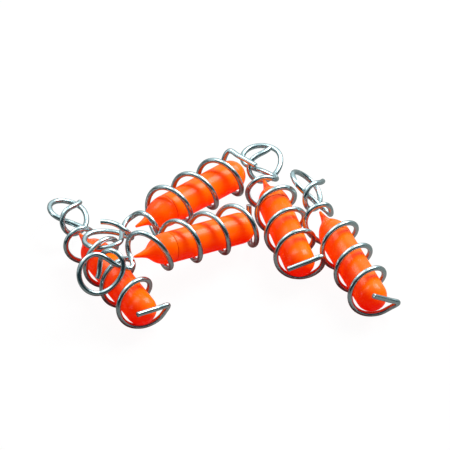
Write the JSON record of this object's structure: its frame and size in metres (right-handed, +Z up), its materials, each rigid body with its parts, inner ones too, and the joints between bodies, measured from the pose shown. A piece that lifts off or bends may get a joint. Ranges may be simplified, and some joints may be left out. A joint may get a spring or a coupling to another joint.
{
  "type": "wire coil cages with plastic slugs",
  "caption": "Loose hand-wound wire coils with wrapped eyes lying in a group, each caging a bullet-shaped plastic slug with a pressed-in pointed cap.",
  "frame": {"origin": "on the floor under the middle of the group's bounding box", "axes": "+Z up from the floor, +X to the right and +Y away from the front"},
  "size_m": [0.1056, 0.0828, 0.0235],
  "materials": {
    "wire": "bright zinc coating",
    "slug": "glossy fluorescent orange",
    "cap": "glossy fluorescent orange"
  },
  "bodies": {
    "resting_wires": {"left_wire": "wire", "back_wire": "wire", "inner_wire": "wire"},
    "middle_cage": {"middle_wire": "wire"},
    "right_cage": {"right_wire": "wire"},
    "left_bullet": {"left_slug": "slug", "left_cap": "cap"},
    "back_bullet": {"back_slug": "slug", "back_cap": "cap"},
    "middle_bullet": {"middle_slug": "slug", "middle_cap": "cap"},
    "inner_bullet": {"inner_slug": "slug", "inner_cap": "cap"},
    "right_bullet": {"right_slug": "slug", "right_cap": "cap"}
  },
  "joints": [
    {"name": "middle_lift", "type": "slide", "parent": "resting_wires", "child": "middle_cage", "axis": [0, 0, 1], "range_m": [0, 0.04]},
    {"name": "right_lift", "type": "slide", "parent": "resting_wires", "child": "right_cage", "axis": [0, 0, 1], "range_m": [0, 0.04]},
    {"name": "left_slug_slide", "type": "slide", "parent": "resting_wires", "child": "left_bullet", "axis": [-0.4848, 0.8746, -0.0122], "range_m": [-0.0012, 0.0003]},
    {"name": "back_slug_slide", "type": "slide", "parent": "resting_wires", "child": "back_bullet", "axis": [-0.7291, -0.6799, 0.0785], "range_m": [-0.0007, 0.0015]},
    {"name": "middle_slug_slide", "type": "slide", "parent": "middle_cage", "child": "middle_bullet", "axis": [-0.8067, -0.5544, 0.2045], "range_m": [-0.0006, 0.0015]},
    {"name": "inner_slug_slide", "type": "slide", "parent": "resting_wires", "child": "inner_bullet", "axis": [-0.2672, 0.9634, -0.0227], "range_m": [-0.0014, 0.0015]},
    {"name": "right_slug_slide", "type": "slide", "parent": "right_cage", "child": "right_bullet", "axis": [-0.3824, 0.9233, 0.0366], "range_m": [-0.0012, 0.0015]}
  ]
}
